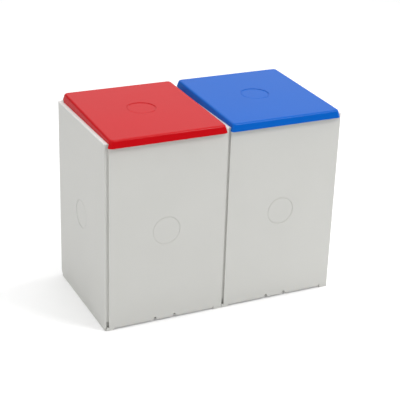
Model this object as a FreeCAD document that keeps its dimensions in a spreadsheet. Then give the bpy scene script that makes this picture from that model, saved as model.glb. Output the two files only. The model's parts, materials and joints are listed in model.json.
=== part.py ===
import FreeCAD, Part
import os
import re
import Sketcher

# A pair of floor-standing recycling bins, the right one lapped into the left one and clipped to it.
# Both are the same bin: flat moulded panels hooked together at the corners, on a base with a
# runner under each side, tied at the top by a frame that carries the hinged lid.
# +Z is up, the fronts face -Y, and the origin is under the middle of the pair, on the floor.

doc = FreeCAD.newDocument("double_recycling_bin")

# ---------------------------------------------------------------- driving sizes, in millimetres
SIZES = (
    ("bin_width", 302, "outside width of one bin"),
    ("lap", 4, "how far the left bin's flanges lap over the right bin"),
    ("lap_gap", 0.5, "clearance between lapped pieces"),
    ("body_front", 151, "from the origin to the front faces"),
    ("body_rear", 162, "from the origin to the rear faces"),
    ("body_height", 467, "floor to the top of the frame"),
    ("wall", 3, "thickness of panels, base and frame"),
    ("corner_radius", 2.9, "rounding of a flange's upright edge"),
    ("edge_radius", 0.6, "rounding of the upright edge beside a groove"),
    ("groove_edge", 9.5, "left face to the front panel's left edge"),
    ("post_width", 4, "thickness of the left panel's ends"),
    ("tongue_depth", 5, "front face to the tongues on the side panels"),
    ("tongue_length", 18, "length of a tongue"),
    ("slide_gap", 0.1, "play between a tongue and the hook round it"),
    ("hook_width", 3, "thickness of hooks and ribs"),
    ("hook_foot", 22, "floor to the lower end of hooks and tongues"),
    ("hook_head", 438, "floor to the upper end of the hooks"),
    ("foot_height", 5, "floor to the lower edge of the front and side panels"),
    ("foot_width", 22, "width of a runner and its front foot"),
    ("foot_end", 10, "rear face to the end of a runner"),
    ("rear_edge", 17, "floor to the lower edge of the rear panel"),
    ("heel_radius", 12, "rounding of the side panels' lower rear corners"),
    ("arch_spacing", 50, "between the two finger arches in a lower edge"),
    ("arch_radius", 4, "radius of a finger arch"),
    ("arch_rise", 3, "straight part of a finger arch"),
    ("slit_width", 2, "relief slit beside a foot"),
    ("slit_height", 4, "height of a relief slit"),
    ("seat_radius", 35, "plain round seat in panels and lids"),
    ("seat_depth", 0.8, "depth of that seat"),
    ("seat_height", 235.5, "floor to the middle of a panel's seat"),
    ("base_gap", 0.3, "clearance of the base inside the panels"),
    ("lip_height", 12, "upstanding lip round the base"),
    ("lip_wall", 2.5, "thickness of that lip"),
    ("rail", 22, "width of the frame's flange"),
    ("frame_edge", 1.2, "rounding of the flange's outer top edge"),
    ("skirt_height", 15, "skirt below the flange"),
    ("skirt_front", 12.5, "front face to the skirt"),
    ("skirt_rear", 16, "rear face to the skirt"),
    ("skirt_side", 2, "inner face of a side panel to the skirt"),
    ("lid_height", 9.5, "height of a lid's front edge above the frame"),
    ("lid_rise", 10.5, "how much higher a lid's rear edge is than its front edge"),
    ("lid_hang", 8.5, "how far the lid's front lip hangs below the top of the frame"),
    ("hang_gap", 0.8, "clearance of that lip's ends before the front panel"),
    ("lid_inset", 6, "side of the bin to the foot of the lid's lip"),
    ("lid_front", 162, "from the origin to the lid's front edge"),
    ("lid_draft", 9, "slope of the lid's rim, in degrees"),
    ("lid_corner", 11, "rounding of the lid's corners in plan"),
    ("lid_edge", 6, "rounding of the lid's top edge"),
    ("lid_wall", 2.5, "thickness of the lid"),
    ("rear_relief", 3.5, "how far the rim is cut back behind the hinge"),
    ("relief_reach", 9, "how far in front of the hinge that cut begins"),
    ("hinge_inset", 8.5, "rear face to the hinge axis"),
    ("hinge_drop", 11, "top of the frame down to the hinge axis"),
    ("hinge_spread", 90, "middle of the bin to the middle of a hinge"),
    ("ear_width", 16, "width of a lid ear"),
    ("ear_radius", 5, "radius of a lid ear about its pin"),
    ("ear_play", 0.6, "side play of an ear in its notch"),
    ("ear_shoulder", 13, "lid top down to the shoulder of an ear"),
    ("ear_neck", 1.5, "hinge axis to the back of an ear above its shoulder"),
    ("notch_floor", 20.5, "top of the frame down to the floor of an ear's notch"),
    ("lug_width", 6, "width of a frame lug"),
    ("lug_reach", 11.9, "depth of a frame lug from the panel inwards"),
    ("lug_drop", 16, "top of the frame down to the foot of a lug"),
    ("pin_radius", 2.5, "radius of a hinge pin"),
    ("pin_play", 0.05, "running clearance of an ear on its pin"),
    ("pin_seat_play", 0.02, "clearance of a pin in its lugs"),
    ("pin_head_radius", 4, "radius of a hinge pin's head"),
    ("pin_head", 1.5, "thickness of a hinge pin's head"),
    ("clip_radius", 5, "radius of the barrel of a coupling clip"),
    ("clip_play", 0.1, "clearance of a coupling clip in its holes"),
    ("clip_head_radius", 9, "radius of a coupling clip's head"),
    ("clip_head", 3, "thickness of a coupling clip's head"),
    ("clip_front", 110, "origin to the front clips"),
    ("clip_rear", 120, "origin to the rear clips"),
    ("clip_low", 80, "floor to the lower clips"),
    ("clip_high", 400, "floor to the upper clips"),
)

sheet = doc.addObject("Spreadsheet::Sheet", "sizes")
for row, (word, value, note) in enumerate(SIZES, start=1):
    sheet.set("A%d" % row, note)
    sheet.set("B%d" % row, str(value))
    sheet.setAlias("B%d" % row, word)
doc.recompute()

SIZE_WORD = re.compile(r"\b(%s)\b" % "|".join(word for word, value, note in SIZES))


def bind(item, place, formula):
    """Binds one property of an object to a formula written in the sheet's words."""
    item.setExpression(place, SIZE_WORD.sub(r"sizes.\1", formula))


# ---------------------------------------------------------------- places on a bin
# A bin is named by its side. u runs from its left face to the right, and v inwards from its
# front or rear face. Each function returns the low and the high formula of a stretch.
LEFT_FACE = {"left": "lap / 2 - bin_width", "right": "-lap / 2"}


def along(side, low, high):
    return "(%s) + (%s)" % (LEFT_FACE[side], low), "(%s) + (%s)" % (LEFT_FACE[side], high)


def about(side, middle, width):
    return along(side, "(%s) - (%s) / 2" % (middle, width), "(%s) + (%s) / 2" % (middle, width))


def inward(face, low, high):
    if face == "front":
        return "(%s) - body_front" % low, "(%s) - body_front" % high
    return "body_rear - (%s)" % high, "body_rear - (%s)" % low


def between(front, rear):
    """A stretch from a depth behind the front face to a depth before the rear face."""
    return "(%s) - body_front" % front, "body_rear - (%s)" % rear


def size(word):
    return sheet.get(word)


MIDDLE = "bin_width / 2"
MIDDLE_Y = "(body_rear - body_front) / 2"
PANEL_TOP = "body_height - wall"
RIGHT_INNER = "bin_width - lap - lap_gap - wall"
RIGHT_OUTER = "bin_width - lap - lap_gap"
LAP_DEPTH = "wall + lap_gap"
AXIS_Y = "body_rear - hinge_inset"
AXIS_Z = "body_height - hinge_drop"
LIP_FOOT = "body_height - lid_hang"
HINGES = {"left": "bin_width / 2 - hinge_spread", "right": "bin_width / 2 + hinge_spread"}
CLIPS = {
    "lower_front": ("-clip_front", "clip_low"),
    "lower_rear": ("clip_rear", "clip_low"),
    "upper_front": ("-clip_front", "clip_high"),
    "upper_rear": ("clip_rear", "clip_high"),
}

# ---------------------------------------------------------------- simple solids and booleans
TURNS = {
    "x": FreeCAD.Rotation(FreeCAD.Vector(0, 1, 0), 90),
    "y": FreeCAD.Rotation(FreeCAD.Vector(1, 0, 0), -90),
    "z": FreeCAD.Rotation(),
}


def block(name, x, y, z):
    item = doc.addObject("Part::Box", name)
    for length, axis, (low, high) in (("Length", "x", x), ("Width", "y", y), ("Height", "z", z)):
        bind(item, length, "(%s) - (%s)" % (high, low))
        bind(item, "Placement.Base." + axis, low)
    return item


def rod(name, axis, start, radius, length):
    """A round bar along +X, +Y or +Z from a start point."""
    item = doc.addObject("Part::Cylinder", name)
    item.Placement = FreeCAD.Placement(FreeCAD.Vector(), TURNS[axis])
    bind(item, "Radius", radius)
    bind(item, "Height", length)
    for letter, formula in zip("xyz", start):
        bind(item, "Placement.Base." + letter, formula)
    return item


def fused(name, pieces):
    item = doc.addObject("Part::MultiFuse", name)
    item.Shapes = pieces
    item.Refine = True
    return item


def cut(name, base, tools):
    item = doc.addObject("Part::Cut", name)
    item.Base = base
    item.Tool = tools[0] if len(tools) == 1 else fused(name + "_tools", tools)
    item.Refine = True
    return item


def ring(name, x, y, z, wall):
    """An upright rectangular collar with walls of even thickness."""
    inner_x = ("%s + %s" % (x[0], wall), "%s - (%s)" % (x[1], wall))
    inner_y = ("%s + %s" % (y[0], wall), "%s - (%s)" % (y[1], wall))
    return cut(name, block(name + "_outside", x, y, z), [block(name + "_inside", inner_x, inner_y, z)])


def parallel_edges(shape, direction, places):
    """Numbers of the edges along X or Z that pass through the given places in the other axes."""
    axes = {"x": (1, 2), "z": (0, 1)}[direction]
    unit = FreeCAD.Vector(*[float(letter == direction) for letter in "xyz"])
    found = []
    for number, edge in enumerate(shape.Edges, start=1):
        first, last = edge.Vertexes[0].Point, edge.Vertexes[-1].Point
        run = last - first
        if run.Length < 0.5 or run.cross(unit).Length > 0.01:
            continue
        if any(abs(first[axes[0]] - a) < 0.01 and abs(first[axes[1]] - b) < 0.01 for a, b in places):
            found.append(number)
    return found


def rounded(name, base, groups):
    """Rounds edges of a solid. Each group is a sheet word, a direction and the edges' places."""
    doc.recompute()
    edges = []
    for word, direction, places in groups:
        numbers = parallel_edges(base.Shape, direction, places)
        if not numbers:
            raise RuntimeError("%s: no edge to round by %s" % (name, word))
        edges += [(number, size(word), size(word)) for number in numbers]
    item = doc.addObject("Part::Fillet", name)
    item.Base = base
    item.Edges = edges
    return item


# ---------------------------------------------------------------- sketched bodies
def sketch_on(body, name, role, height="0"):
    """A sketch on one of the body's own origin planes, raised off it by a formula."""
    item = body.newObject("Sketcher::SketchObject", name)
    item.AttachmentSupport = (next(p for p in body.Origin.OriginFeatures if p.Role == role), [""])
    item.MapMode = "FlatFace"
    bind(item, "AttachmentOffset.Base.z", height)
    return item


def outline(sketch, corners):
    """A closed outline of upright and level lines through corners given as formula pairs."""
    columns = list(dict.fromkeys(x for x, y in corners))
    rows = list(dict.fromkeys(y for x, y in corners))
    points = [FreeCAD.Vector(columns.index(x), rows.index(y), 0) for x, y in corners]
    count = len(corners)
    for n in range(count):
        sketch.addGeometry(Part.LineSegment(points[n], points[(n + 1) % count]), False)
    for n in range(count):
        sketch.addConstraint(Sketcher.Constraint("Coincident", n, 2, (n + 1) % count, 1))
        upright = corners[n][0] == corners[(n + 1) % count][0]
        sketch.addConstraint(Sketcher.Constraint("Vertical" if upright else "Horizontal", n))
        kind, formula = ("DistanceX", corners[n][0]) if upright else ("DistanceY", corners[n][1])
        here = sketch.addConstraint(Sketcher.Constraint(kind, n, 1, 1.0))
        bind(sketch, "Constraints[%d]" % here, formula)


def polygon(sketch, corners):
    """A closed outline of straight lines in any direction, with both places of each corner held."""
    count = len(corners)
    for n in range(count):
        sketch.addGeometry(Part.LineSegment(FreeCAD.Vector(n, n * n, 0),
                                            FreeCAD.Vector(n + 1, (n + 1) * (n + 1), 0)), False)
    for n, (x, y) in enumerate(corners):
        sketch.addConstraint(Sketcher.Constraint("Coincident", n, 2, (n + 1) % count, 1))
        for kind, formula in (("DistanceX", x), ("DistanceY", y)):
            here = sketch.addConstraint(Sketcher.Constraint(kind, n, 1, 1.0))
            bind(sketch, "Constraints[%d]" % here, formula)


def turned(name, corners, middle):
    """A piece turned about a line along X: corners are (along, radius) pairs of its outline."""
    body = doc.addObject("PartDesign::Body", name)
    half_outline = sketch_on(body, name + "_outline", "XZ_Plane")
    outline(half_outline, corners)
    turn = body.newObject("PartDesign::Revolution", name + "_turn")
    turn.Profile = half_outline
    turn.ReferenceAxis = (half_outline, ["H_Axis"])
    turn.Angle = 360
    for letter, formula in zip("xyz", middle):
        bind(body, "Placement.Base." + letter, formula)
    return body


NODES = []


def node(item, name):
    """Names a finished piece."""
    item.Label = name
    NODES.append(item)


# ---------------------------------------------------------------- the pieces of a bin
def make_base(side):
    """Floor with an upstanding lip inside the panels, on a runner under each side. The runners
    carry the front feet, which stand flush with the front panel and close its groove below."""
    name = side + "_bin_base"
    x = along(side, "post_width + base_gap", "%s - base_gap" % RIGHT_INNER)
    floor_z = ("foot_height", "foot_height + wall")
    inset = "tongue_depth + wall + base_gap"
    foot_z = ("0", "foot_height")
    right = "bin_width - foot_width"
    front_right = along(side, right, "bin_width")
    front_left = along(side, "lap + lap_gap", "foot_width")
    pieces = [
        block(name + "_floor", x, between(LAP_DEPTH, LAP_DEPTH), floor_z),
        ring(name + "_lip", x, between(inset, inset),
             ("foot_height + wall", "foot_height + wall + lip_height"), "lip_wall"),
        block(name + "_left_runner", along(side, "0", "foot_width"), between(LAP_DEPTH, "foot_end"),
              foot_z),
        block(name + "_left_foot", front_left, inward("front", "0", LAP_DEPTH), foot_z),
        block(name + "_right_runner", along(side, right, RIGHT_OUTER), between(LAP_DEPTH, "foot_end"),
              foot_z),
        block(name + "_right_foot", front_right, inward("front", "0", "wall"), foot_z),
        block(name + "_right_foot_root", along(side, right, RIGHT_OUTER),
              inward("front", "wall", LAP_DEPTH), foot_z),
        block(name + "_groove_stop", along(side, "lap + lap_gap", "groove_edge - slide_gap"),
              inward("front", "0", LAP_DEPTH), floor_z),
    ]
    node(fused(name, pieces), name)


def make_face_panel(side, face):
    """Front or rear panel. Its right edge runs on as a flange past the right side panel. Hooks
    behind it hold the tongues of both side panels, and its lower edge has two finger arches."""
    name = "%s_bin_%s_panel" % (side, face)
    foot = "foot_height" if face == "front" else "rear_edge"
    leg_depth = "tongue_depth + wall + slide_gap + hook_width"
    lip = inward(face, "tongue_depth + wall + slide_gap", leg_depth)
    leg = inward(face, "wall", leg_depth)
    rib = inward(face, "wall", "tongue_depth - slide_gap")
    hook_z = ("hook_foot", "hook_head")
    rib_z = ("hook_foot", PANEL_TOP)
    left_end = "post_width + tongue_length + slide_gap"
    right_end = "%s - tongue_length - slide_gap" % RIGHT_INNER
    plate_y = inward(face, "0", "wall")
    pieces = [
        block(name + "_plate", along(side, "groove_edge", "bin_width"), plate_y, (foot, PANEL_TOP)),
        block(name + "_left_leg", along(side, left_end, left_end + " + hook_width"), leg, hook_z),
        block(name + "_left_lip", along(side, left_end + " - hook_width", left_end), lip, hook_z),
        block(name + "_left_rib", along(side, "groove_edge", "groove_edge + hook_width"), rib, rib_z),
        block(name + "_right_leg", along(side, right_end + " - hook_width", right_end), leg, hook_z),
        block(name + "_right_lip", along(side, right_end, right_end + " + hook_width"), lip, hook_z),
        block(name + "_right_rib", along(side, RIGHT_INNER + " - slide_gap - hook_width",
                                         RIGHT_INNER + " - slide_gap"), rib, rib_z),
    ]
    tools = []
    for word, sign in (("left", "-"), ("right", "+")):
        middle = "%s %s arch_spacing / 2" % (MIDDLE, sign)
        tools.append(block("%s_%s_arch" % (name, word), about(side, middle, "2 * arch_radius"), plate_y,
                           (foot, foot + " + arch_rise")))
        tools.append(rod("%s_%s_arch_head" % (name, word), "y",
                         (along(side, middle, middle)[0], plate_y[0], foot + " + arch_rise"),
                         "arch_radius", "wall"))
    slit = "bin_width - foot_width - slit_width"
    tools.append(block(name + "_slit", along(side, slit, slit + " + slit_width"), plate_y,
                       (foot, foot + " + slit_height")))
    seat_y = inward(face, "0", "seat_depth")[0]
    tools.append(rod(name + "_seat", "y", (along(side, MIDDLE, MIDDLE)[0], seat_y, "seat_height"),
                     "seat_radius", "seat_depth"))
    if face == "rear":
        for word, middle in HINGES.items():
            tools.append(block("%s_%s_notch" % (name, word), about(side, middle, "ear_width + 2 * ear_play"),
                               plate_y, ("body_height - notch_floor", PANEL_TOP)))
    shaped = cut(name + "_shaped", fused(name + "_solid", pieces), tools)

    left_face = size("lap") / 2 - size("bin_width") if side == "left" else -size("lap") / 2
    outer_y = -size("body_front") if face == "front" else size("body_rear")
    groups = [
        ("corner_radius", "z", [(left_face + size("bin_width"), outer_y)]),
        ("edge_radius", "z", [(left_face + size("groove_edge"), outer_y)]),
    ]
    node(rounded(name, shaped, groups), name)


def clip_holes(name, x):
    return [rod("%s_%s_hole" % (name, place), "x", (x[0], y, z), "clip_radius + clip_play", "wall")
            for place, (y, z) in CLIPS.items()]


def seated(name, solid, x, tools):
    """Sinks the plain round seat into a side panel, with any further cuts."""
    seat = rod(name + "_seat", "x", (x, MIDDLE_Y, "seat_height"), "seat_radius", "seat_depth")
    return cut(name + "_shaped", solid, [seat] + tools)


def make_left_panel(side):
    """Left side panel: its thick ends stand back from the front and rear faces, behind the next
    bin's flanges, and carry the tongues that close the corner grooves from inside."""
    name = side + "_bin_left_panel"
    z = ("foot_height", PANEL_TOP)
    x = along(side, "0", "wall")
    pieces = [block(name + "_plate", x, between(LAP_DEPTH, LAP_DEPTH), z)]
    for face in ("front", "rear"):
        pieces.append(block("%s_%s_post" % (name, face), along(side, "0", "post_width"),
                            inward(face, LAP_DEPTH, "tongue_depth + wall"), z))
        pieces.append(block("%s_%s_tongue" % (name, face),
                            along(side, "post_width", "post_width + tongue_length"),
                            inward(face, "tongue_depth", "tongue_depth + wall"), ("hook_foot", PANEL_TOP)))
    holes = clip_holes(name, x) if side == "right" else []
    shaped = seated(name, fused(name + "_solid", pieces), x[0], holes)
    heel = (size("body_rear") - size("wall") - size("lap_gap"), size("foot_height"))
    node(rounded(name, shaped, [("heel_radius", "x", [heel])]), name)


def make_right_panel(side):
    """Right side panel: set in between the front and rear panels' flanges."""
    name = side + "_bin_right_panel"
    x = along(side, RIGHT_INNER, RIGHT_OUTER)
    depth = "wall + slide_gap"
    pieces = [block(name + "_plate", x, between(depth, depth), ("foot_height", PANEL_TOP))]
    for face in ("front", "rear"):
        pieces.append(block("%s_%s_tongue" % (name, face),
                            along(side, RIGHT_INNER + " - tongue_length", RIGHT_INNER),
                            inward(face, "tongue_depth", "tongue_depth + wall"), ("hook_foot", PANEL_TOP)))
    holes = clip_holes(name, x) if side == "left" else []
    shaped = seated(name, fused(name + "_solid", pieces), x[1] + " - seat_depth", holes)
    heel = (size("body_rear") - size("wall") - size("slide_gap"), size("foot_height"))
    node(rounded(name, shaped, [("heel_radius", "x", [heel])]), name)


def make_frame(side):
    """Frame that ties the panels at the top: a flange that the lid rests on, a skirt inside the
    panels, and a pair of lugs for each hinge pin."""
    name = side + "_bin_top_frame"
    flange_z = (PANEL_TOP, "body_height")
    flange = fused(name + "_flange_outside", [
        block(name + "_field", along(side, "0", RIGHT_OUTER), between(LAP_DEPTH, LAP_DEPTH), flange_z),
        block(name + "_middle", along(side, "groove_edge", RIGHT_OUTER), between("0", "0"), flange_z),
        block(name + "_front_flange", along(side, "groove_edge", "bin_width"),
              inward("front", "0", "wall"), flange_z),
        block(name + "_rear_flange", along(side, "groove_edge", "bin_width"),
              inward("rear", "0", "wall"), flange_z),
    ])
    right_face = size("lap") / 2 if side == "left" else size("bin_width") - size("lap") / 2
    corners = [(right_face, -size("body_front")), (right_face, size("body_rear"))]
    soft_corners = rounded(name + "_soft_corners", flange, [("corner_radius", "z", corners)])
    doc.recompute()
    top_edges = [(number, size("frame_edge"), size("frame_edge"))
                 for number, edge in enumerate(soft_corners.Shape.Edges, start=1)
                 if edge.BoundBox.ZMin > size("body_height") - 0.01]
    soft_top = doc.addObject("Part::Fillet", name + "_soft_top")
    soft_top.Base = soft_corners
    soft_top.Edges = top_edges

    pieces = [
        soft_top,
        ring(name + "_skirt", along(side, "wall + skirt_side", RIGHT_INNER + " - skirt_side"),
             between("skirt_front", "skirt_rear"), (PANEL_TOP + " - skirt_height", PANEL_TOP), "wall"),
    ]
    tools = [block(name + "_mouth", along(side, "rail", RIGHT_OUTER + " - rail"),
                   between("rail", "rail"), flange_z)]
    for word, middle in HINGES.items():
        for end, sign in (("near", "-"), ("far", "+")):
            lug = "%s %s (ear_width / 2 + ear_play + lug_width / 2)" % (middle, sign)
            pieces.append(block("%s_%s_%s_lug" % (name, word, end), about(side, lug, "lug_width"),
                                inward("rear", "wall + slide_gap", "wall + lug_reach"),
                                ("body_height - lug_drop", PANEL_TOP)))
        tools.append(block("%s_%s_notch" % (name, word), about(side, middle, "ear_width + 2 * ear_play"),
                           inward("rear", "0", "wall + lug_reach"), flange_z))
        reach = "ear_width + 2 * ear_play + 2 * lug_width"
        tools.append(rod("%s_%s_bore" % (name, word), "x", (about(side, middle, reach)[0], AXIS_Y, AXIS_Z),
                         "pin_radius + pin_seat_play", reach))
    node(cut(name, fused(name + "_solid", pieces), tools), name)


def lid_top_at(y):
    """Height of a lid's top at a place along Y: it falls evenly from the rear to the front."""
    return "body_height + lid_height + lid_rise * ((%s) + lid_front) / (lid_front + body_rear)" % y


def tray_block(name, side, inset):
    """A block with sloping sides, rounded corners and a rounded top edge, whose top falls towards
    the front. It lies the given inset inside the lid's outer faces."""
    body = doc.addObject("PartDesign::Body", name)
    base = sketch_on(body, name + "_outline", "XY_Plane", LIP_FOOT)
    x = along(side, "lid_inset + (%s)" % inset, "bin_width - lid_inset - (%s)" % inset)
    y = ("(%s) - lid_front" % inset, "body_rear - (%s)" % inset)
    outline(base, [(x[0], y[0]), (x[1], y[0]), (x[1], y[1]), (x[0], y[1])])
    pad = body.newObject("PartDesign::Pad", name + "_pad")
    pad.Profile = base
    bind(pad, "Length", "%s - (%s) - (%s)" % (lid_top_at("body_rear"), LIP_FOOT, inset))
    bind(pad, "TaperAngle", "-lid_draft")
    doc.recompute()

    corners = body.newObject("PartDesign::Fillet", name + "_corners")
    corners.Base = (pad, ["Edge%d" % n for n, e in enumerate(pad.Shape.Edges, start=1)
                          if e.BoundBox.ZLength > 1])
    bind(corners, "Radius", "lid_corner - (%s)" % inset)
    doc.recompute()

    side_view = sketch_on(body, name + "_fall", "YZ_Plane")
    ends = ("-2 * lid_front", "2 * lid_front")
    above = "body_height + 2 * (lid_height + lid_rise)"
    polygon(side_view, [(ends[0], "%s - (%s)" % (lid_top_at(ends[0]), inset)),
                        (ends[1], "%s - (%s)" % (lid_top_at(ends[1]), inset)),
                        (ends[1], above), (ends[0], above)])
    fall = body.newObject("PartDesign::Pocket", name + "_slope")
    fall.Profile = side_view
    fall.Type = "ThroughAll"
    fall.Midplane = True
    doc.recompute()

    top = max(fall.Shape.Faces, key=lambda face: face.CenterOfMass.z)
    rim = ["Edge%d" % n for n, e in enumerate(fall.Shape.Edges, start=1)
           if any(e.isSame(other) for other in top.Edges)]
    soft = body.newObject("PartDesign::Fillet", name + "_soft_edge")
    soft.Base = (fall, rim)
    bind(soft, "Radius", "lid_edge - (%s)" % inset)
    return body


def make_lid(side, name):
    """Shallow tray lid, open below, with two ears that hang from its rear edge to the pins. Its
    top falls towards the front. Its sides rest on the frame, and its front lip hangs down before
    the front panel. Its rear rim is cut back so that it clears the frame as the lid swings."""
    outside = tray_block(name + "_outside", side, "0")
    inside = tray_block(name + "_inside", side, "lid_wall")
    width = along(side, "0", "bin_width")
    rear = "body_rear + lid_wall"
    rest = block(name + "_rest", width, ("-body_front - hang_gap", rear), (LIP_FOOT, "body_height"))
    relief = block(name + "_relief", width, (AXIS_Y + " - relief_reach", rear),
                   ("body_height", "body_height + rear_relief"))
    pieces = [cut(name + "_tray", outside, [inside, rest, relief])]
    seat_floor = (along(side, MIDDLE, MIDDLE)[0], MIDDLE_Y, lid_top_at(MIDDLE_Y) + " - seat_depth")
    seat = rod(name + "_seat", "z", seat_floor, "seat_radius", "2 * seat_depth")
    seat.Placement.Rotation = FreeCAD.Rotation(FreeCAD.Vector(1, 0, 0), 1)
    bind(seat, "Placement.Rotation.Angle", "atan(lid_rise / (lid_front + body_rear))")
    tools = [seat]
    over_axis = lid_top_at(AXIS_Y)
    for word, middle in HINGES.items():
        x = about(side, middle, "ear_width")
        start = (x[0], AXIS_Y, AXIS_Z)
        pieces.append(block("%s_%s_ear" % (name, word), x,
                            (AXIS_Y + " - ear_radius", AXIS_Y + " + ear_radius"),
                            (AXIS_Z, over_axis + " - ear_shoulder")))
        pieces.append(block("%s_%s_ear_neck" % (name, word), x,
                            (AXIS_Y + " - ear_radius", AXIS_Y + " + ear_neck"),
                            (AXIS_Z, over_axis + " - lid_wall / 2")))
        pieces.append(rod("%s_%s_eye" % (name, word), "x", start, "ear_radius", "ear_width"))
        tools.append(rod("%s_%s_bore" % (name, word), "x", start, "pin_radius + pin_play", "ear_width"))
    node(cut(name, fused(name + "_solid", pieces), tools), name)


def make_hinge_pin(side, lid_name, word):
    """Hinge pin pushed through two frame lugs and the lid ear between them."""
    name = "%s_%s_hinge_pin" % (lid_name, word)
    half = "(ear_width / 2 + ear_play + lug_width)"
    head = "-%s - pin_head" % half
    corners = [(head, "0"), (half, "0"), (half, "pin_radius"), ("-" + half, "pin_radius"),
               ("-" + half, "pin_head_radius"), (head, "pin_head_radius")]
    middle = HINGES[word]
    node(turned(name, corners, (along(side, middle, middle)[0], AXIS_Y, AXIS_Z)), name)


def make_coupling_clip(place):
    """Coupling clip: a barrel through the two side panels that meet, with a head in each bin."""
    name = "coupling_clip_" + place
    half = "(wall + lap_gap / 2)"
    head = half + " + clip_head"
    corners = [("-%s - clip_head" % half, "0"), (head, "0"), (head, "clip_head_radius"),
               (half, "clip_head_radius"), (half, "clip_radius"), ("-" + half, "clip_radius"),
               ("-" + half, "clip_head_radius"), ("-%s - clip_head" % half, "clip_head_radius")]
    y, z = CLIPS[place]
    node(turned(name, corners, ("-(lap + lap_gap) / 2", y, z)), name)


for side, lid_name in (("left", "red_lid"), ("right", "blue_lid")):
    make_base(side)
    make_face_panel(side, "front")
    make_face_panel(side, "rear")
    make_left_panel(side)
    make_right_panel(side)
    make_frame(side)
    make_lid(side, lid_name)
    for word in HINGES:
        make_hinge_pin(side, lid_name, word)
for place in CLIPS:
    make_coupling_clip(place)

# ---------------------------------------------------------------- checks and files
doc.recompute()
for item in doc.Objects:
    if "Invalid" in item.State or "Error" in item.State:
        raise RuntimeError("%s: %s" % (item.Name, item.State))
for item in NODES:
    if item.Shape.isNull() or not item.Shape.isValid() or len(item.Shape.Solids) != 1:
        raise RuntimeError("%s is not one sound solid" % item.Label)

os.makedirs("parts", exist_ok=True)
for item in NODES:
    item.Shape.exportStep("parts/%s.step" % item.Label)
    box = item.Shape.BoundBox
    print("%-26s %9.0f mm3  x %7.1f %7.1f  y %7.1f %7.1f  z %6.1f %6.1f" % (
        item.Label, item.Shape.Volume, box.XMin, box.XMax, box.YMin, box.YMax, box.ZMin, box.ZMax))
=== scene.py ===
import json
from math import atan2, cos, radians, sin, tan

import bpy
from mathutils import Euler, Matrix, Vector

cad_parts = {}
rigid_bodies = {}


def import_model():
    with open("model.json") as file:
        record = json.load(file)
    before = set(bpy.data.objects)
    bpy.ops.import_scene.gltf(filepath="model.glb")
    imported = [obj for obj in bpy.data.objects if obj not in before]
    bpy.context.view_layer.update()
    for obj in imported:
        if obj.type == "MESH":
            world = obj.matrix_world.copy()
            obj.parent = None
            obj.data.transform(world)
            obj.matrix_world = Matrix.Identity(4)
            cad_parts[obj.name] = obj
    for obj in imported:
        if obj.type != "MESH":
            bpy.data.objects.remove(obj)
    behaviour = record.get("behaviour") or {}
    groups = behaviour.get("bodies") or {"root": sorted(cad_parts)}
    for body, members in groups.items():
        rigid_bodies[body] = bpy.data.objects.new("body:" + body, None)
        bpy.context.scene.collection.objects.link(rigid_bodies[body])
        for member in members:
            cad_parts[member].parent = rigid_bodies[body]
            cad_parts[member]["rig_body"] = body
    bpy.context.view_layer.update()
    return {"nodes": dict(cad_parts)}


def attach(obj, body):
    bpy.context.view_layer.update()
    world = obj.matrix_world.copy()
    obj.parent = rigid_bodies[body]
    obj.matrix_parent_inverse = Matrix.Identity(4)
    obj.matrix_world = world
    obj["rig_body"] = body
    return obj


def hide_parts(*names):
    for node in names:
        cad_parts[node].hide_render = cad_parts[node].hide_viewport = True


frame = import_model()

# ---------------------------------------------------------------- bases
# Each bin stands on a moulded floor with a lip that fits inside the walls and a runner under each
# side. It is light warm grey polypropylene with a fine spark-eroded grain, like the walls.
doubles_gap = 0.000005
loose_gap = 0.00001
flat_angle = radians(0.5)
smooth_angle = radians(40)
sharp_angle = radians(50)
gloss_drift = 0.06
grain_strength = 0.3


def new_group(name, inputs, outputs):
    """An empty node group with named inputs, which have a start value, and named outputs."""
    group = bpy.data.node_groups.new(name, "ShaderNodeTree")
    for word, value in inputs:
        socket = group.interface.new_socket(word, in_out="INPUT", socket_type="NodeSocketFloat")
        socket.default_value = value
    for word in outputs:
        group.interface.new_socket(word, in_out="OUTPUT", socket_type="NodeSocketFloat")
    return group, group.nodes.new("NodeGroupInput"), group.nodes.new("NodeGroupOutput")


def make_moulded_grain():
    """Spark-eroded grain as a height, and the slow cloudiness of moulded plastic, from 0 to 1."""
    group, given, result = new_group(
        "moulded_grain", [("Grain Scale", 1400.0), ("Cloud Scale", 7.0)], ["Height", "Cloud"])
    place = group.nodes.new("ShaderNodeTexCoord")
    for scale, output, detail in (("Grain Scale", "Height", 2.0), ("Cloud Scale", "Cloud", 4.0)):
        noise = group.nodes.new("ShaderNodeTexNoise")
        noise.inputs["Detail"].default_value = detail
        group.links.new(place.outputs["Object"], noise.inputs["Vector"])
        group.links.new(given.outputs[scale], noise.inputs["Scale"])
        group.links.new(noise.outputs["Fac"], result.inputs[output])
    return group


moulded_grain = make_moulded_grain()


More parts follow.
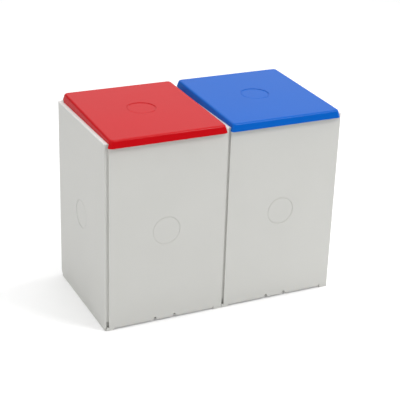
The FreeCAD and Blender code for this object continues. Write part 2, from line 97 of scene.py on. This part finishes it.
def moulded_plastic(name, dark, light, roughness, specular, grain_height):
    """Moulded plastic: its colour drifts between two shades, and its gloss drifts a little too."""
    material = bpy.data.materials.new(name)
    material.use_nodes = True
    nodes, links = material.node_tree.nodes, material.node_tree.links
    shader = nodes["Principled BSDF"]
    grain = nodes.new("ShaderNodeGroup")
    grain.node_tree = moulded_grain
    shade = nodes.new("ShaderNodeMix")
    shade.data_type = "RGBA"
    colours = [socket for socket in shade.inputs if socket.type == "RGBA"]
    colours[0].default_value = (*dark, 1)
    colours[1].default_value = (*light, 1)
    links.new(grain.outputs["Cloud"], shade.inputs[0])
    mixed = next(socket for socket in shade.outputs if socket.type == "RGBA")
    links.new(mixed, shader.inputs["Base Color"])
    gloss = nodes.new("ShaderNodeMapRange")
    gloss.inputs["To Min"].default_value = roughness - gloss_drift
    gloss.inputs["To Max"].default_value = roughness + gloss_drift
    links.new(grain.outputs["Cloud"], gloss.inputs["Value"])
    links.new(gloss.outputs["Result"], shader.inputs["Roughness"])
    bump = nodes.new("ShaderNodeBump")
    bump.inputs["Strength"].default_value = grain_strength
    bump.inputs["Distance"].default_value = grain_height
    links.new(grain.outputs["Height"], bump.inputs["Height"])
    links.new(bump.outputs["Normal"], shader.inputs["Normal"])
    shader.inputs["Specular IOR Level"].default_value = specular
    return material


def choose(piece):
    """Makes a piece the only selected and the active object."""
    bpy.ops.object.select_all(action="DESELECT")
    piece.select_set(True)
    bpy.context.view_layer.objects.active = piece


def apply_modifier(piece, kind, **settings):
    """Adds a modifier with these settings to a piece, and applies it."""
    choose(piece)
    modifier = piece.modifiers.new(kind.lower(), kind)
    for word, value in settings.items():
        setattr(modifier, word, value)
    bpy.ops.object.modifier_apply(modifier=modifier.name)


def even_shading(piece):
    """Merges what a cut leaves behind, and evens the shading of the flat faces."""
    choose(piece)
    bpy.ops.object.mode_set(mode="EDIT")
    bpy.ops.mesh.select_all(action="SELECT")
    bpy.ops.mesh.remove_doubles(threshold=doubles_gap)
    bpy.ops.mesh.dissolve_limited(angle_limit=flat_angle)
    bpy.ops.object.mode_set(mode="OBJECT")
    bpy.ops.object.shade_smooth_by_angle(angle=smooth_angle)
    apply_modifier(piece, "WEIGHTED_NORMAL", keep_sharp=True)


def soften(piece, width, clamped=False):
    """Rounds the sharp edges, and where clamped is true, no further than the smallest face allows."""
    apply_modifier(piece, "BEVEL", width=width, segments=2, limit_method="ANGLE",
                   angle_limit=sharp_angle, use_clamp_overlap=clamped)
    even_shading(piece)


def copy_of(node):
    """A free copy of a piece of the frame, with its loose triangles merged into whole faces."""
    piece = bpy.data.objects.new(node + "_finished", frame["nodes"][node].data.copy())
    bpy.context.scene.collection.objects.link(piece)
    choose(piece)
    bpy.ops.object.mode_set(mode="EDIT")
    bpy.ops.mesh.select_all(action="SELECT")
    bpy.ops.mesh.remove_doubles(threshold=loose_gap)
    bpy.ops.mesh.dissolve_limited(angle_limit=flat_angle)
    bpy.ops.object.mode_set(mode="OBJECT")
    return piece


def finish_piece(piece, node, material):
    """Gives a finished piece its material and its body, and hides the node that it stands for."""
    piece.data.materials.clear()
    piece.data.materials.append(material)
    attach(piece, frame["nodes"][node]["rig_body"])
    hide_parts(node)


warm_grey = moulded_plastic(
    "warm_grey_plastic", (0.625, 0.625, 0.594), (0.665, 0.665, 0.636), 0.46, 0.40, 0.00003)
base_edge = 0.0004
for side in ("left", "right"):
    base = copy_of(side + "_bin_base")
    soften(base, base_edge)
    finish_piece(base, side + "_bin_base", warm_grey)

# ---------------------------------------------------------------- wall panels
# Four flat panels close each bin. They are moulded in the same grey plastic, hook together at the
# corners without screws, and each has one plain round seat pressed into its outer face.
seat_radius = 0.0350
seat_depth = 0.0008
bead_radius = 0.0331
bead_half_width = 0.0008
bead_height = 0.0007


def carve(piece, cutter):
    """Cuts a shape out of a piece."""
    apply_modifier(piece, "BOOLEAN", operation="DIFFERENCE", object=cutter, solver="EXACT")
    bpy.data.objects.remove(cutter)


def join_solids(piece, other):
    """Makes one solid of two that overlap."""
    apply_modifier(piece, "BOOLEAN", operation="UNION", object=other, solver="EXACT")
    bpy.data.objects.remove(other)


def seat_plug(middle, outward):
    """A round plug for cutting a seat into a face, from a little above it down to its floor."""
    above = 0.002
    outward = Vector(outward)
    bpy.ops.object.select_all(action="DESELECT")
    bpy.ops.mesh.primitive_cylinder_add(
        vertices=96, radius=seat_radius, depth=above + seat_depth,
        location=Vector(middle) + outward * (above - seat_depth) / 2,
        rotation=outward.to_track_quat("Z", "Y").to_euler())
    bpy.ops.object.transform_apply(location=True, rotation=True, scale=True)
    return bpy.context.object


def bead_ring(middle, outward):
    """The fine bead that stands round the floor of a seat, with its lower half in the wall."""
    outward = Vector(outward)
    bpy.ops.object.select_all(action="DESELECT")
    bpy.ops.mesh.primitive_torus_add(
        major_radius=bead_radius, minor_radius=bead_half_width, major_segments=96, minor_segments=16,
        location=Vector(middle) - outward * seat_depth, rotation=outward.to_track_quat("Z", "Y").to_euler())
    ring = bpy.context.object
    ring.scale = (1, 1, bead_height / bead_half_width)
    bpy.ops.object.transform_apply(location=True, rotation=True, scale=True)
    return ring


panel_edge = 0.00035
seat_height = 0.2355
front_face = -0.151
rear_face = 0.162
left_reach = 0.151
right_reach = 0.1465
pair_middle_y = 0.0055
bin_middles = {"left": -0.149, "right": 0.149}
for side, middle in bin_middles.items():
    faces = {
        "front_panel": ((middle, front_face, seat_height), (0, -1, 0)),
        "rear_panel": ((middle, rear_face, seat_height), (0, 1, 0)),
        "left_panel": ((middle - left_reach, pair_middle_y, seat_height), (-1, 0, 0)),
        "right_panel": ((middle + right_reach, pair_middle_y, seat_height), (1, 0, 0)),
    }
    for part, (seat_middle, outward) in faces.items():
        node = "%s_bin_%s" % (side, part)
        panel = copy_of(node)
        soften(panel, panel_edge)
        join_solids(panel, bead_ring(seat_middle, outward))
        even_shading(panel)
        finish_piece(panel, node, warm_grey)

# ---------------------------------------------------------------- coupling clips
# Four small clips tie the two bins together, through holes in the side panels that meet. They are
# moulded in natural nylon, a little glossier than the panels, and can't be seen from outside.


def cover(node, material):
    """Gives a piece that keeps its shape from the frame a new material."""
    piece = frame["nodes"][node]
    piece.data.materials.clear()
    piece.data.materials.append(material)


natural_nylon = moulded_plastic(
    "natural_nylon", (0.640, 0.620, 0.550), (0.700, 0.680, 0.610), 0.36, 0.50, 0.00001)
for height in ("lower", "upper"):
    for end in ("front", "rear"):
        cover("coupling_clip_%s_%s" % (height, end), natural_nylon)

# ---------------------------------------------------------------- top frames
# A frame drops over the panels' top edges and ties them together, and its lugs hold the hinge pins.
# Its flat flange is the ledge round the lid; its grey is painted paler, as painted light on the ledge.
frame_edge = 0.0004
# painted light: this grey is paler than the walls' to stand in for the light on the flat ledge
frame_grey_painted_light = moulded_plastic(
    "frame_grey_painted_light_plastic", (0.790, 0.785, 0.765), (0.830, 0.825, 0.808), 0.42, 0.40, 0.00002)
for side in ("left", "right"):
    tie = copy_of(side + "_bin_top_frame")
    soften(tie, frame_edge, clamped=True)
    finish_piece(tie, side + "_bin_top_frame", frame_grey_painted_light)

# ---------------------------------------------------------------- lids
# Shallow tray lids, one red and one blue, moulded in a glossier grade with sloping rims. The sides
# rest on the frame, the front lip hangs before the panel, and two ears turn on the hinge pins.
lid_front_height = 0.4765
lid_rear_height = 0.4870
ledge_height = 0.467
lip_foot = 0.4585
lid_front = -0.162
lid_rear = 0.162
lid_half_width = 0.1450
lid_slope = tan(radians(14))
lid_wall = 0.0025
lid_corner = 0.009
lid_rounding = 0.0042
lid_edge = 0.0004
on_plane = 0.00001
rest_front = -0.1518
relief_front = 0.1445
relief_height = 0.4705
hinge_place = Vector((0, 0.1535, 0.456))
hinge_spread = 0.090
ear_width = 0.016
ear_radius = 0.005
ear_bore = 0.00255
ear_neck = 0.0005
lid_fall = atan2(lid_rear_height - lid_front_height, lid_rear - lid_front)
lid_facing = Vector((0, -sin(lid_fall), cos(lid_fall)))


def lid_top(y):
    """Height of a lid's top, which falls evenly from the rear to the front."""
    return lid_front_height + (y - lid_front) * tan(lid_fall)


def select_edges(piece, wanted):
    """Selects the edges whose two end points both pass a test, and goes into edit mode."""
    choose(piece)
    bpy.ops.object.mode_set(mode="EDIT")
    bpy.ops.mesh.select_mode(type="EDGE")
    bpy.ops.mesh.select_all(action="DESELECT")
    bpy.ops.object.mode_set(mode="OBJECT")
    points = piece.data.vertices
    for edge in piece.data.edges:
        edge.select = wanted(points[edge.vertices[0]].co, points[edge.vertices[1]].co)
    bpy.ops.object.mode_set(mode="EDIT")


def select_faces(piece, wanted):
    """Selects the faces whose middle and normal pass a test, and goes into edit mode."""
    choose(piece)
    bpy.ops.object.mode_set(mode="EDIT")
    bpy.ops.mesh.select_mode(type="FACE")
    bpy.ops.mesh.select_all(action="DESELECT")
    bpy.ops.object.mode_set(mode="OBJECT")
    for face in piece.data.polygons:
        face.select = wanted(face.center, face.normal)
    bpy.ops.object.mode_set(mode="EDIT")


def object_mode():
    """Goes back to object mode."""
    bpy.ops.object.mode_set(mode="OBJECT")


def sloped_block(name, middle, foot, inside):
    """A block with sloping sides and rounded edges, this far inside the lid's outer faces."""
    height = lid_rear_height - inside - foot
    spread = (lip_foot - foot) * lid_slope - inside
    width = 2 * (lid_half_width + spread)
    depth = lid_rear - lid_front + 2 * spread
    bpy.ops.object.select_all(action="DESELECT")
    bpy.ops.mesh.primitive_cube_add(
        size=1, location=(middle, (lid_front + lid_rear) / 2, foot + height / 2),
        scale=(width, depth, height))
    block = bpy.context.object
    block.name = name
    bpy.ops.object.transform_apply(location=True, rotation=True, scale=True)
    lean = 2 * height * lid_slope
    select_faces(block, lambda place, normal: normal.z > 0.9)
    bpy.ops.transform.resize(value=(1 - lean / width, 1 - lean / depth, 1))
    object_mode()
    select_edges(block, lambda a, b: abs(a.z - b.z) > height / 2)
    bpy.ops.mesh.bevel(offset=lid_corner - inside, segments=10, profile=0.5)
    bpy.ops.mesh.select_all(action="SELECT")
    on_top = Vector((0, lid_rear, lid_rear_height - inside))
    bpy.ops.mesh.bisect(plane_co=on_top, plane_no=lid_facing, use_fill=True, clear_outer=True)
    object_mode()
    select_edges(block, lambda a, b: max(
        abs((point - on_top).dot(lid_facing)) for point in (a, b)) < on_plane)
    bpy.ops.mesh.bevel(offset=lid_rounding - inside, segments=6, profile=0.5)
    object_mode()
    return block


def plain_block(low, high):
    """A plain block between two corners, for cutting."""
    low, high = Vector(low), Vector(high)
    bpy.ops.object.select_all(action="DESELECT")
    bpy.ops.mesh.primitive_cube_add(size=1, location=(low + high) / 2, scale=high - low)
    bpy.ops.object.transform_apply(location=True, rotation=True, scale=True)
    return bpy.context.object


def model_tray(name, middle):
    """The tray: sloping walls round a flat top, open below, with its sides cut off at the ledge."""
    tray = sloped_block(name, middle, lip_foot, 0)
    carve(tray, sloped_block(name + "_hollow", middle, lip_foot - 0.002, lid_wall))
    beyond = 0.02
    for cut_front, cut_top in ((rest_front, ledge_height), (relief_front, relief_height)):
        carve(tray, plain_block(
            (middle - lid_half_width - beyond, cut_front, lip_foot - beyond),
            (middle + lid_half_width + beyond, lid_rear + beyond, cut_top)))
    return tray


def model_ear(middle):
    """An ear: a round eye on the pin's line with a bore, and a neck up into the lid's top."""
    at = hinge_place + Vector((middle, 0, 0))
    across = Euler((0, radians(90), 0))
    ear = plain_block((at.x - ear_width / 2, at.y - ear_radius, at.z),
                      (at.x + ear_width / 2, at.y + ear_neck, lid_top(at.y) - lid_wall / 2))
    bpy.ops.object.select_all(action="DESELECT")
    bpy.ops.mesh.primitive_cylinder_add(
        vertices=48, radius=ear_radius, depth=ear_width, location=at, rotation=across)
    eye = bpy.context.object
    bpy.ops.object.transform_apply(location=True, rotation=True, scale=True)
    join_solids(ear, eye)
    bpy.ops.mesh.primitive_cylinder_add(
        vertices=32, radius=ear_bore, depth=2 * ear_width, location=at, rotation=across)
    bore = bpy.context.object
    bpy.ops.object.transform_apply(location=True, rotation=True, scale=True)
    carve(ear, bore)
    return ear


lid_red = moulded_plastic(
    "lid_red_plastic", (0.550, 0.0010, 0.0045), (0.595, 0.0014, 0.0065), 0.24, 0.17, 0.00001)
lid_blue = moulded_plastic(
    "lid_blue_plastic", (0.0004, 0.112, 0.525), (0.0008, 0.124, 0.575), 0.24, 0.13, 0.00001)
for node, side, material in (("red_lid", "left", lid_red), ("blue_lid", "right", lid_blue)):
    middle = bin_middles[side]
    lid = model_tray(node + "_tray", middle)
    for ear_middle in (middle - hinge_spread, middle + hinge_spread):
        join_solids(lid, model_ear(ear_middle))
    soften(lid, lid_edge)
    seat_place = (middle, pair_middle_y, lid_top(pair_middle_y))
    carve(lid, seat_plug(seat_place, lid_facing))
    join_solids(lid, bead_ring(seat_place, lid_facing))
    even_shading(lid)
    finish_piece(lid, node, material)

# ---------------------------------------------------------------- hinge pins
# Each lid turns on two cut lengths of bright drawn steel wire, pushed through the frame's lugs and
# the lid's ears. Drawing leaves fine lines along the wire.
line_scale = (8.0, 1500.0, 1500.0)
line_height = 0.00001
steel_dark = (0.50, 0.50, 0.49, 1)
steel_light = (0.62, 0.62, 0.61, 1)
steel_smooth, steel_rough = 0.22, 0.38
bright_steel = bpy.data.materials.new("bright_steel")
bright_steel.use_nodes = True
steel_nodes, steel_links = bright_steel.node_tree.nodes, bright_steel.node_tree.links
steel_shader = steel_nodes["Principled BSDF"]
steel_shader.inputs["Metallic"].default_value = 1.0
steel_place = steel_nodes.new("ShaderNodeTexCoord")
along_wire = steel_nodes.new("ShaderNodeMapping")
along_wire.inputs["Scale"].default_value = line_scale
steel_links.new(steel_place.outputs["Object"], along_wire.inputs["Vector"])
lines = steel_nodes.new("ShaderNodeTexNoise")
lines.inputs["Scale"].default_value = 1.0
lines.inputs["Detail"].default_value = 3.0
steel_links.new(along_wire.outputs["Vector"], lines.inputs["Vector"])
steel_shade = steel_nodes.new("ShaderNodeValToRGB")
steel_shade.color_ramp.elements[0].color = steel_dark
steel_shade.color_ramp.elements[1].color = steel_light
steel_links.new(lines.outputs["Fac"], steel_shade.inputs["Fac"])
steel_links.new(steel_shade.outputs["Color"], steel_shader.inputs["Base Color"])
steel_gloss = steel_nodes.new("ShaderNodeMapRange")
steel_gloss.inputs["To Min"].default_value = steel_smooth
steel_gloss.inputs["To Max"].default_value = steel_rough
steel_links.new(lines.outputs["Fac"], steel_gloss.inputs["Value"])
steel_links.new(steel_gloss.outputs["Result"], steel_shader.inputs["Roughness"])
steel_bump = steel_nodes.new("ShaderNodeBump")
steel_bump.inputs["Strength"].default_value = grain_strength
steel_bump.inputs["Distance"].default_value = line_height
steel_links.new(lines.outputs["Fac"], steel_bump.inputs["Height"])
steel_links.new(steel_bump.outputs["Normal"], steel_shader.inputs["Normal"])
for lid_node in ("red_lid", "blue_lid"):
    for end in ("left", "right"):
        cover("%s_%s_hinge_pin" % (lid_node, end), bright_steel)

# ---------------------------------------------------------------- floor, light and camera
# A plain white studio floor and soft lamps. The floor shows white where it is fully lit and keeps
# the object's soft shadow. The largest lamp hangs behind and above, and shines on the lids.
white_floor = bpy.data.materials.new("white_floor")
white_floor.use_nodes = True
floor_nodes, floor_links = white_floor.node_tree.nodes, white_floor.node_tree.links
floor_shader = floor_nodes["Principled BSDF"]
floor_shader.inputs["Base Color"].default_value = (0.95, 0.95, 0.95, 1)
floor_shader.inputs["Roughness"].default_value = 0.9
floor_shader.inputs["Specular IOR Level"].default_value = 0.0
floor_shader.inputs["Emission Color"].default_value = (1, 1, 1, 1)
floor_lift = 0.14
seen = floor_nodes.new("ShaderNodeLightPath")
lift = floor_nodes.new("ShaderNodeMath")
lift.operation = "MULTIPLY"
lift.inputs[1].default_value = floor_lift
floor_links.new(seen.outputs["Is Camera Ray"], lift.inputs[0])
floor_links.new(lift.outputs["Value"], floor_shader.inputs["Emission Strength"])
bpy.ops.object.select_all(action="DESELECT")
bpy.ops.mesh.primitive_plane_add(size=14, location=(0, 0, 0))
floor = bpy.context.object
floor.name = "floor"
floor.data.materials.append(white_floor)

sky_low = 0.15
sky_high = 0.90
world = bpy.data.worlds.new("studio")
world.use_nodes = True
bpy.context.scene.world = world
world_nodes, world_links = world.node_tree.nodes, world.node_tree.links
sky = world_nodes["Background"]
sky.inputs["Color"].default_value = (1, 1, 1, 1)
direction = world_nodes.new("ShaderNodeTexCoord")
part = world_nodes.new("ShaderNodeSeparateXYZ")
world_links.new(direction.outputs["Generated"], part.inputs["Vector"])
rise = world_nodes.new("ShaderNodeMapRange")
rise.inputs["To Min"].default_value = sky_low
rise.inputs["To Max"].default_value = sky_high
world_links.new(part.outputs["Z"], rise.inputs["Value"])
seen = world_nodes.new("ShaderNodeLightPath")
level = world_nodes.new("ShaderNodeMapRange")
level.inputs["To Max"].default_value = 1.0
world_links.new(seen.outputs["Is Camera Ray"], level.inputs["Value"])
world_links.new(rise.outputs["Result"], level.inputs["To Min"])
world_links.new(level.outputs["Result"], sky.inputs["Strength"])


def soft_lamp(name, place, width, height, power):
    """A soft box that faces the middle of the object and doesn't show in the picture."""
    aim = Vector((0, 0, 0.3))
    turn = (aim - Vector(place)).to_track_quat("-Z", "Y").to_euler()
    bpy.ops.object.light_add(type="AREA", location=place, rotation=turn)
    lamp = bpy.context.object
    lamp.name = name
    lamp.data.shape = "RECTANGLE"
    lamp.data.size = width
    lamp.data.size_y = height
    lamp.data.energy = power
    lamp.visible_camera = False


soft_lamp("top_lamp", (0.2, 0.0, 2.8), 1.6, 1.6, 12)
soft_lamp("back_lamp", (1.3, 2.7, 1.9), 3.6, 2.2, 12)
soft_lamp("key_lamp", (1.7, -2.1, 2.9), 1.0, 1.0, 40)
soft_lamp("left_lamp", (-2.6, -0.6, 1.9), 1.2, 1.2, 16)
soft_lamp("right_strip", (2.5, 0.5, 0.9), 0.5, 1.4, 22)

azimuth = radians(-26.13)
elevation = radians(24.02)
roll = radians(1.95)
distance = 2.804
aim = Vector((0, pair_middle_y, 0.230))
aside, above = 0.0093, -0.0068
lens, sensor = 102.3, 36
turn = Euler((radians(90) - elevation, 0, azimuth)).to_matrix() @ Matrix.Rotation(roll, 3, "Z")
bpy.ops.object.camera_add(location=aim + turn @ Vector((aside, above, distance)), rotation=turn.to_euler())
camera = bpy.context.object
camera.data.lens = lens
camera.data.sensor_width = sensor
bpy.context.scene.camera = camera
bpy.context.scene.view_settings.view_transform = "Standard"
